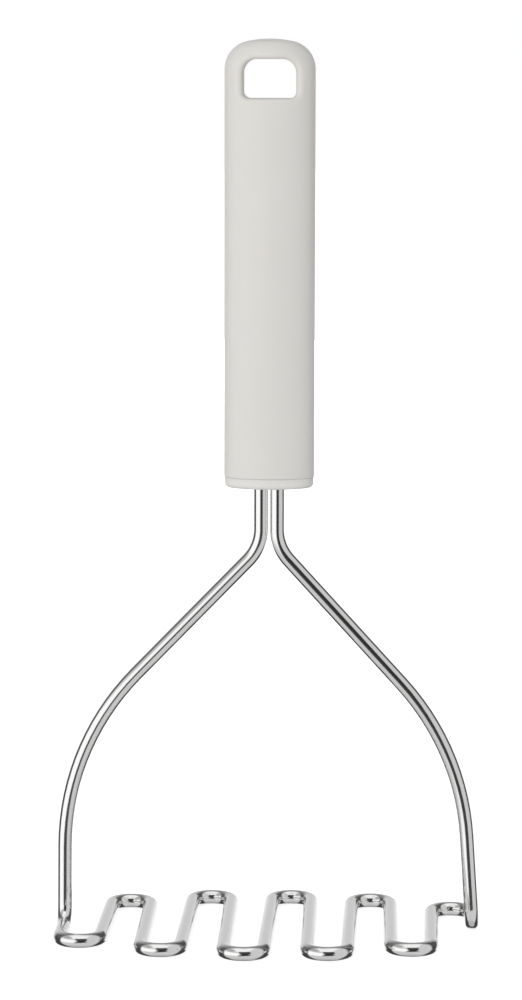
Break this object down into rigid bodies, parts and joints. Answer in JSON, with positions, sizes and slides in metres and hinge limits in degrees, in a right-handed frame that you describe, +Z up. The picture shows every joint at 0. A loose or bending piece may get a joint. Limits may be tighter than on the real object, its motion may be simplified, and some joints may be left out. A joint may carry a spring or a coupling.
{
  "type": "potato masher",
  "caption": "Hand potato masher: a moulded oval grip with a hanging hole on a bent steel rod that forms a wishbone frame and a zigzag mashing head",
  "frame": {"origin": "under the middle of the mashing head, on the surface that the head rests on", "axes": "+Z up along the handle, +X to the right across the head, +Y to the rear; the front faces -Y"},
  "size_m": [0.118, 0.0706, 0.2481],
  "materials": {
    "polished_steel": "mirror polished stainless steel rod",
    "grip_plastic": "satin moulded plastic, warm light grey",
    "cap_plastic": "satin moulded plastic, warm light grey",
    "core_plastic": "plain moulded plastic, hidden inside the grip"
  },
  "bodies": {
    "root": {"masher_wire": "polished_steel", "handle_shell": "grip_plastic", "end_cap": "cap_plastic", "tang_core": "core_plastic"}
  },
  "joints": []
}
